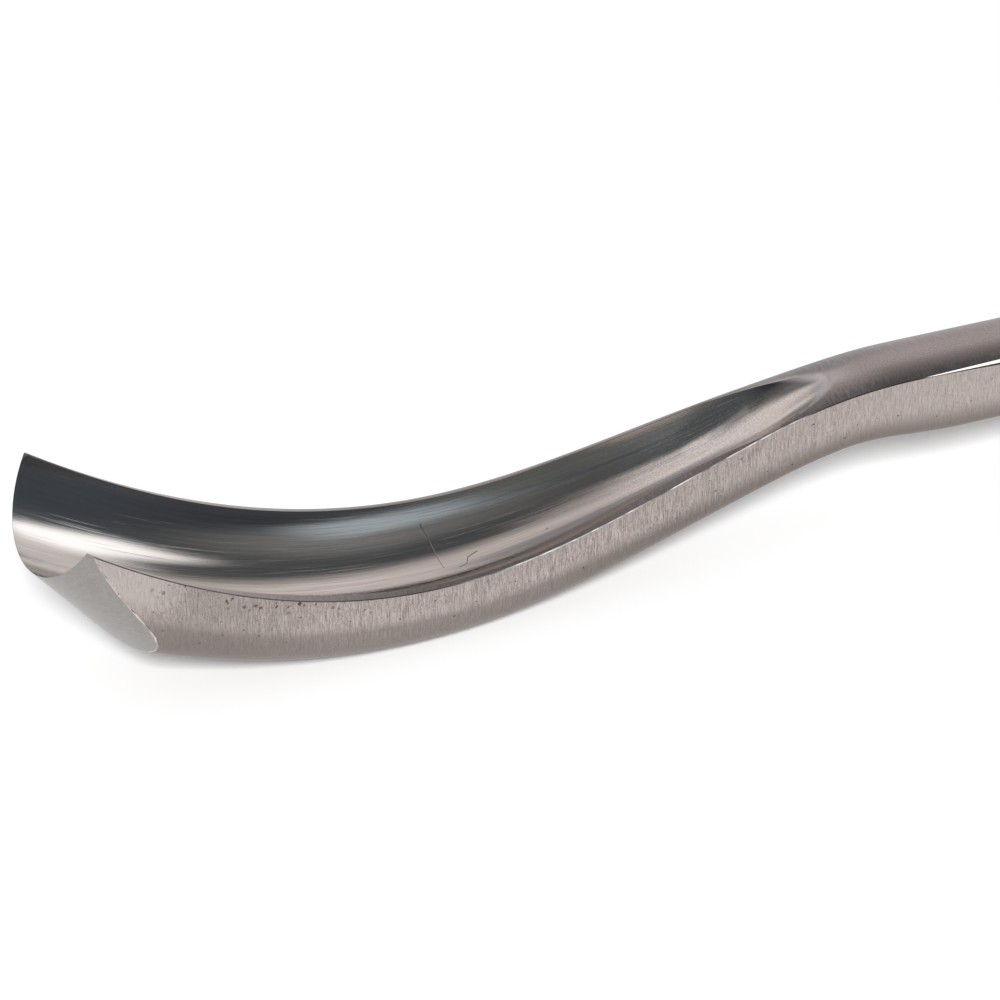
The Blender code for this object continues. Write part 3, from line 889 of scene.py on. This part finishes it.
def section(x):
    """Outline of the blade at a station, as (y, height above the rim line, strip that follows)."""
    half = half_width(x)
    cut = chamfer(x)
    inset = EDGE_SLANT * cut
    reach = max(flute_reach(x), FLUTE_SPREAD)
    drift = flute_drift(x)
    across = [drift + reach * math.sin(FLUTE_SWEEP * k) / math.sin(FLUTE_SWEEP)
              for k in np.linspace(1, -1, FLUTE_STEPS + 1)]
    far_land = np.linspace(half - inset, across[0], LAND_STEPS + 1)[:-1]
    near_land = np.linspace(across[-1], inset - half, LAND_STEPS + 1)[1:]
    top = [(y, crown(x, y) - max(0, hollow_depth(x, y))) for y in [*far_land, *across, *near_land]]

    radius = under_radius(x)
    corner_y = half - radius
    corner_v = -under_edge(x) + radius * math.cos(under_tilt(x))
    turns = np.linspace(0, math.pi / 2 - under_tilt(x), CORNER_STEPS + 1)
    corner = [(corner_y + radius * math.cos(a), corner_v - radius * math.sin(a)) for a in turns]
    under = np.linspace(-under_half(x), under_half(x), UNDER_STEPS + 1)[1:-1]
    side = [(half, v) for v in np.linspace(-cut, corner_v, SIDE_STEPS + 1)[:-1]]
    near_below = [(-y, v) for y, v in corner]
    below = near_below + [(y, -under_depth(x, y)) for y in under] + corner[:0:-1]

    outline = [(y, v, "top") for y, v in top[:-1]] + [(*top[-1], "near_edge")]
    outline += [(-y, v, "near_side") for y, v in side]
    outline += [(y, v, "under") for y, v in below]
    outline += [(*corner[0], "far_side")] + [(y, v, "far_side") for y, v in side[:0:-1]]
    outline += [(*side[0], "far_edge"), (*top[0], "end")]
    return outline


def stations():
    """Stations of the blade's sections, closer together where the flute runs out."""
    fluted = np.linspace(-EDGE_STOCK, DEPTH_BACK_X, FLUTE_STATIONS)
    runout = np.linspace(DEPTH_BACK_X, FLUTE_END_X, RUNOUT_STATIONS)
    neck = np.linspace(FLUTE_END_X, SHANK_SIDE_X, NECK_STATIONS)
    shank = np.linspace(SHANK_SIDE_X, BOLSTER_RIM_X, SHANK_STATIONS)
    return np.concatenate([fluted, runout[1:], neck[1:], shank[1:]])


def strip_spans(outline):
    """Where each strip of a section starts and ends in its outline."""
    spans = {}
    for n, (_, _, strip) in enumerate(outline[:-1]):
        first, _ = spans.get(strip, (n, n))
        spans[strip] = (first, n + 1)
    return spans


def fluted_bar(finishes):
    """Blade from the cutting edge to inside the bolster, rolled from one sheet."""
    along = stations()
    outlines = [section(x) for x in along]
    spans = strip_spans(outlines[0])

    def strip_at(column):
        return outlines[0][min(int(column), len(outlines[0]) - 2)][2]

    def point(row, column):
        y, v, _ = outlines[row][column]
        return place(along[row], y, v)

    def flat(row, column, middle):
        strip = strip_at(middle)
        first, last = spans[strip]
        share = (column - first) / (last - first)
        return (along[row] * MILLIMETRES, 1 + share if strip == "under" else share)

    bar, where = rolled_sheet("blade_steel", len(along), len(outlines[0]), point, flat)
    mesh = bar.data
    hollow = mesh.attributes.new("hollow", "FLOAT", "POINT")
    for n, (row, column) in enumerate(where):
        y, _, strip = outlines[row][column]
        hollow.data[n].value = MILLIMETRES * hollow_depth(along[row], y) if strip == "top" else -1
    for name in BLADE_SLOTS:
        mesh.materials.append(finishes[name])
    for face in mesh.polygons:
        middle = sum(where[v][1] for v in face.vertices) / len(face.vertices)
        face.material_index = BLADE_SLOTS.index(STRIP_FINISHES[strip_at(middle)])
    close_up(bar)
    return bar


def edge_frame():
    """Centre of the cutting edge's circle and the turn of the tools that grind the bevel."""
    upward = Vector((math.sin(EDGE_PITCH), 0, math.cos(EDGE_PITCH)))
    centre = place(0, 0, -EDGE_DEPTH) + flute_radius(0) * upward
    return centre, Euler((0, math.pi / 2 + EDGE_PITCH, EDGE_YAW))


def bevel_bore():
    """Cone round the flute, round at the cutting edge and taller than wide behind it."""
    centre, turn = edge_frame()
    edge = flute_radius(0) + EDGE_FLAT
    side = edge + BEVEL_REACH * math.tan(SIDE_BEVEL)
    under = edge + BEVEL_REACH * math.tan(UNDER_BEVEL)
    back = turn.to_matrix() @ Vector((0, 0, BEVEL_REACH / 2))
    deselect()
    bpy.ops.mesh.primitive_cone_add(vertices=BORE_STEPS, radius1=edge, radius2=side, depth=BEVEL_REACH,
                                    location=centre + back, rotation=turn)
    bore = bpy.context.object
    for vert in bore.data.vertices:
        if vert.co.z > 0:
            vert.co.x *= under / side
    return named("bevel_bore")


def bevel_cutter(finish):
    """Block that trims the blade to its cutting edge and grinds the bevel behind it."""
    centre, turn = edge_frame()
    behind = BEVEL_REACH - EDGE_STOCK
    middle = turn.to_matrix() @ Vector((0, 0, (behind - CUTTER_AHEAD) / 2))
    deselect()
    bpy.ops.mesh.primitive_cube_add(size=1, location=centre + middle, rotation=turn,
                                    scale=(CUTTER_WIDTH, CUTTER_WIDTH, CUTTER_AHEAD + behind))
    cutter = named("bevel_cutter")
    bore = bevel_bore()
    cutter.data.materials.append(finish)
    bore.data.materials.append(finish)
    apply_boolean(cutter, bore, "DIFFERENCE")
    return cutter


def turned(name, outline, closed=False):
    """Turn an outline of (x, radius) round the axis of the tool, from one rolled sheet."""
    rows = outline + outline[:1] if closed else outline

    def point(row, column):
        x, radius = rows[row]
        turn = 2 * math.pi * (column % TURN_STEPS) / TURN_STEPS
        return Vector((x - MIDDLE_X, radius * math.cos(turn), AXIS_Z + radius * math.sin(turn)))

    def flat(row, column, _):
        return (rows[row][0] * MILLIMETRES, column / TURN_STEPS)

    sheet, _ = rolled_sheet(name, len(rows), TURN_STEPS + 1, point, flat)
    close_up(sheet, fill_ends=not closed)
    return sheet


def rounded_rim(front, back, radius, rounding):
    """Outline of a rim from its back to its front, with both its corners rounded."""
    middle = radius - rounding
    points = []
    for centre, start in ((back - rounding, 0), (front + rounding, math.pi / 2)):
        for turn in np.linspace(start, start + math.pi / 2, ROUND_STEPS + 1):
            points.append((centre + rounding * math.cos(turn), middle + rounding * math.sin(turn)))
    return points


def bolster(finish):
    """Turned bolster: a cove that flares from the shank to a short rim with a flat back.

    The middle of the back is one face, wide enough for the tang to stand on.
    """
    widest = BOLSTER_DIAMETER / 2 - BOLSTER_ROUND
    slimmest = SHANK_WIDTH / 2 - COVE_SINK
    outline = [(BOLSTER_BACK_X, BOLSTER_FLAT)]
    outline += rounded_rim(BOLSTER_RIM_X, BOLSTER_BACK_X, BOLSTER_DIAMETER / 2, BOLSTER_ROUND)
    for turn in np.linspace(0, math.pi / 2, COVE_STEPS + 1)[1:]:
        x = BOLSTER_FRONT_X + (BOLSTER_RIM_X - BOLSTER_FRONT_X) * math.cos(turn)
        outline.append((x, widest - (widest - slimmest) * math.sin(turn)))
    made = turned("bolster", outline)
    made.data.materials.append(finish)
    return made


def tang(finish):
    """Square tang that tapers along the axis."""
    front = BOLSTER_BACK_X - BOLSTER_ROUND
    wide = TANG_ROOT + (TANG_ROOT - TANG_TIP) * BOLSTER_ROUND / TANG_LENGTH
    deselect()
    bpy.ops.mesh.primitive_cone_add(
        vertices=4, depth=TANG_END_X - front, radius1=wide / math.sqrt(2), radius2=TANG_TIP / math.sqrt(2),
        location=((front + TANG_END_X) / 2 - MIDDLE_X, 0, AXIS_Z), rotation=(0, math.pi / 2, 0))
    made = bpy.context.object
    spun = Euler((0, 0, math.pi / 4)).to_matrix()
    for vert in made.data.vertices:
        vert.co = spun @ vert.co
    made = named("tang")
    made.data.materials.append(finish)
    return made


def ease_heel(blade):
    """Ease the line where the bevel meets the sides and the underside."""
    mesh = blade.data
    heel = {BLADE_SLOTS.index("bevel"), BLADE_SLOTS.index("side")}
    meeting = {}
    for face in mesh.polygons:
        for key in face.edge_keys:
            meeting.setdefault(key, set()).add(face.material_index)
    pick(blade)
    bpy.ops.object.mode_set(mode="EDIT")
    bpy.ops.mesh.select_mode(type="EDGE")
    bpy.ops.mesh.select_all(action="DESELECT")
    bpy.ops.object.mode_set(mode="OBJECT")
    for edge in mesh.edges:
        edge.select = meeting[edge.key] == heel
    bpy.ops.object.mode_set(mode="EDIT")
    bpy.ops.mesh.bevel(offset=HEEL_LINE, segments=HEEL_STEPS, affect="EDGES", clamp_overlap=False,
                       material=BLADE_SLOTS.index("heel"))
    bpy.ops.mesh.select_mode(type="VERT")
    bpy.ops.object.mode_set(mode="OBJECT")


def make_blade(lines, pits, scratch):
    finishes = {
        "top": top_finish(lines, pits, scratch),
        "side": ground_side_finish(lines, pits),
        "edge": edge_wear_and_highlight_finish(),
        "bevel": bevel_finish(lines),
        "bolster": bolster_finish(lines),
        "heel": heel_finish(),
    }
    blade = fluted_bar(finishes)
    apply_boolean(blade, bevel_cutter(finishes["bevel"]), "DIFFERENCE")
    apply_boolean(blade, bolster(finishes["bolster"]), "UNION")
    apply_boolean(blade, tang(finishes["bolster"]), "UNION")
    ease_heel(blade)
    close_up(blade, fill_ends=False)
    finish_smooth(blade, BLADE_SMOOTH_ANGLE)
    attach(blade, "root")
    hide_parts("blade")


# Ferrule and handle

def make_ferrule(lines, pits):
    low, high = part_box("ferrule")
    outer = (high.z - low.z) / 2
    front = low.x + MIDDLE_X
    back = high.x + MIDDLE_X
    bore = outer - FERRULE_WALL
    outline = [(back, bore), *rounded_rim(front, back, outer, FERRULE_ROUND), (front, bore)]
    ferrule = turned("ferrule_brass", outline, closed=True)
    ferrule.data.materials.append(brass_finish(lines, pits))
    finish_smooth(ferrule, FERRULE_SMOOTH_ANGLE)
    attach(ferrule, "root")
    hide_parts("ferrule")


def make_handle():
    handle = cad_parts["handle"]
    handle.data.materials.clear()
    handle.data.materials.append(ash_finish())


# Studio

def make_camera():
    lens = bpy.data.cameras.new("photo_camera")
    lens.lens = FOCAL_LENGTH
    lens.sensor_width = SENSOR_WIDTH
    lens.clip_end = VIEW_REACH
    camera = bpy.data.objects.new("photo_camera", lens)
    bpy.context.scene.collection.objects.link(camera)
    camera.rotation_euler = (math.pi / 2 - VIEW_PITCH, 0, -VIEW_TURN)
    backward = camera.rotation_euler.to_matrix() @ Vector((0, 0, 1))
    camera.location = VIEW_POINT + VIEW_DISTANCE * backward
    bpy.context.scene.camera = camera


def seen_ray(tree):
    """One for camera, glossy and transmission rays."""
    path = put(tree, "ShaderNodeLightPath")
    seen = maths(tree, "MAXIMUM", path.outputs["Is Camera Ray"], path.outputs["Is Glossy Ray"])
    return maths(tree, "MAXIMUM", seen, path.outputs["Is Transmission Ray"])


def studio_material(name):
    """Material with no Principled shader, its nodes and the socket of its surface."""
    made = bpy.data.materials.new(name)
    made.use_nodes = True
    made.cycles.emission_sampling = "NONE"
    tree = made.node_tree
    tree.nodes.remove(tree.nodes["Principled BSDF"])
    return made, tree, tree.nodes["Material Output"].inputs["Surface"]


def make_floor():
    """White floor with a faint glow, whose front part is dark in reflections."""
    deselect()
    bpy.ops.mesh.primitive_plane_add(size=FLOOR_SIZE, location=(0, 0, 0))
    floor = named("floor")
    made, tree, surface = studio_material("white_floor")
    coords = put(tree, "ShaderNodeTexCoord").outputs["Object"]
    depth = put(tree, "ShaderNodeSeparateXYZ", None, Vector=coords).outputs["Y"]
    mirrored = put(tree, "ShaderNodeLightPath").outputs["Is Glossy Ray"]
    front = times(tree, ramp(tree, depth, FLOOR_DARK_Y, FLOOR_WHITE_Y, 1, 0), mirrored)
    white = blend(tree, front, FLOOR_WHITE, FLOOR_DARK)
    glow = ramp(tree, seen_ray(tree), 0, 1, 0, FLOOR_GLOW)
    paper = put(tree, "ShaderNodeBsdfDiffuse", None, Color=white)
    light = put(tree, "ShaderNodeEmission", None, Color=white, Strength=glow)
    both = put(tree, "ShaderNodeAddShader", None, i0=paper.outputs[0], i1=light.outputs[0])
    tree.links.new(both.outputs[0], surface)
    floor.data.materials.append(made)


def toward(azimuth, elevation):
    """Unit vector for an azimuth from +X towards +Y and an elevation, in degrees."""
    az, el = math.radians(azimuth), math.radians(elevation)
    return Vector((math.cos(el) * math.cos(az), math.cos(el) * math.sin(az), math.sin(el)))


def make_tent():
    """Tent round the tool with a white far side, seen only in reflections."""
    deselect()
    bpy.ops.mesh.primitive_uv_sphere_add(segments=TENT_STEPS, ring_count=TENT_STEPS // 2, radius=TENT_RADIUS)
    tent = named("dark_tent")
    made, tree, surface = studio_material("tent_cloth")
    coords = put(tree, "ShaderNodeTexCoord").outputs["Object"]
    way = put(tree, "ShaderNodeVectorMath", {"operation": "NORMALIZE"}, i0=coords).outputs[0]

    def facing(direction):
        product = put(tree, "ShaderNodeVectorMath", {"operation": "DOT_PRODUCT"}, i0=way, i1=direction)
        return product.outputs["Value"]

    def near(azimuth, elevation, inner, outer):
        """Round patch that fades between two angles from its middle."""
        return ramp(tree, facing(toward(azimuth, elevation)), math.cos(math.radians(outer)),
                    math.cos(math.radians(inner)))

    def card(azimuth, elevation, wide, high, soft, roll=0):
        """Card with half width, half height and soft edge in degrees, turned about its own middle."""
        ahead = toward(azimuth, elevation)
        turn = Quaternion(ahead, math.radians(roll))
        depth = maths(tree, "MAXIMUM", facing(ahead), 0.01)
        inside = 1
        for axis, half in ((toward(azimuth + 90, 0), wide), (toward(azimuth, elevation + 90), high)):
            off = maths(tree, "ABSOLUTE", maths(tree, "DIVIDE", facing(turn @ axis), depth))
            rim_in, rim_out = (math.tan(math.radians(half + soft * k)) for k in (-1, 1))
            inside = times(tree, inside, ramp(tree, off, rim_in, rim_out, 1, 0))
        return inside

    white = (1.05, 1, 0.98, 1)
    grey = (0.5, 0.5, 0.52, 1)
    colour = layered(
        tree, TENT_CLOTH,
        # To the right of the camera: darker cloth, a grey patch above it, a dim strip and a blue card
        (near(-45, 20, inner=12, outer=36), (0.068, 0.079, 0.094, 1)),
        (near(-60, 55, inner=2, outer=28), (0.31, 0.32, 0.32, 1)),
        (card(-91, 15, wide=6, high=22, soft=4), (0.22, 0.24, 0.235, 1)),
        (card(-73.5, 42, wide=11, high=10, soft=5), (0.66, 0.8, 0.89, 1)),
        # The white far side with two grey patches on it, and two white patches overhead
        (near(102, 10, inner=54, outer=74), white),
        (near(152, 71.5, inner=6, outer=17), white),
        (near(202, 71.7, inner=5, outer=13), white),
        (near(93, 40, inner=8, outer=15), grey),
        (near(80, 15, inner=11, outer=16), grey),
        # Behind the handle: a warm patch, a white card and a bright card on its corner
        (near(40, 17, inner=12, outer=24), (0.8, 0.765, 0.745, 1)),
        (card(17, 30, wide=7, high=8, soft=4), (1.02, 0.99, 0.97, 1)),
        (card(2.6, 36.9, wide=7.4, high=12.5, soft=3.5, roll=45), (1.7, 1.72, 1.72, 1)))
    cloth = put(tree, "ShaderNodeEmission", None, Color=colour)
    tree.links.new(cloth.outputs[0], surface)
    tent.data.materials.append(made)
    tent.visible_camera = False
    tent.visible_diffuse = False


def make_world():
    """White all round, dimmer as a light than it looks."""
    world = bpy.data.worlds.new("white_studio")
    bpy.context.scene.world = world
    world.use_nodes = True
    world.cycles.sampling_method = "NONE"
    tree = world.node_tree
    back = tree.nodes["Background"]
    back.inputs["Color"].default_value = WORLD_WHITE
    tree.links.new(ramp(tree, seen_ray(tree), 0, 1, WORLD_FILL, WORLD_SEEN), back.inputs["Strength"])


def make_lamp():
    """Square lamp over the camera, which casts the shadow and is not itself reflected."""
    way = toward(LAMP_AZIMUTH, LAMP_ELEVATION)
    light = bpy.data.lights.new("front_lamp", "AREA")
    light.size = LAMP_SIZE
    light.energy = LAMP_POWER
    lamp = bpy.data.objects.new("front_lamp", light)
    bpy.context.scene.collection.objects.link(lamp)
    lamp.location = VIEW_POINT + LAMP_DISTANCE * way
    lamp.rotation_euler = way.to_track_quat("Z", "Y").to_euler()
    lamp.visible_camera = False
    lamp.visible_glossy = False


lines = grinding_group()
pits = pit_group()
make_blade(lines, pits, scratch_group())
make_ferrule(lines, pits)
make_handle()
make_floor()
make_tent()
make_world()
make_lamp()
make_camera()
bpy.context.scene.view_settings.view_transform = "Standard"
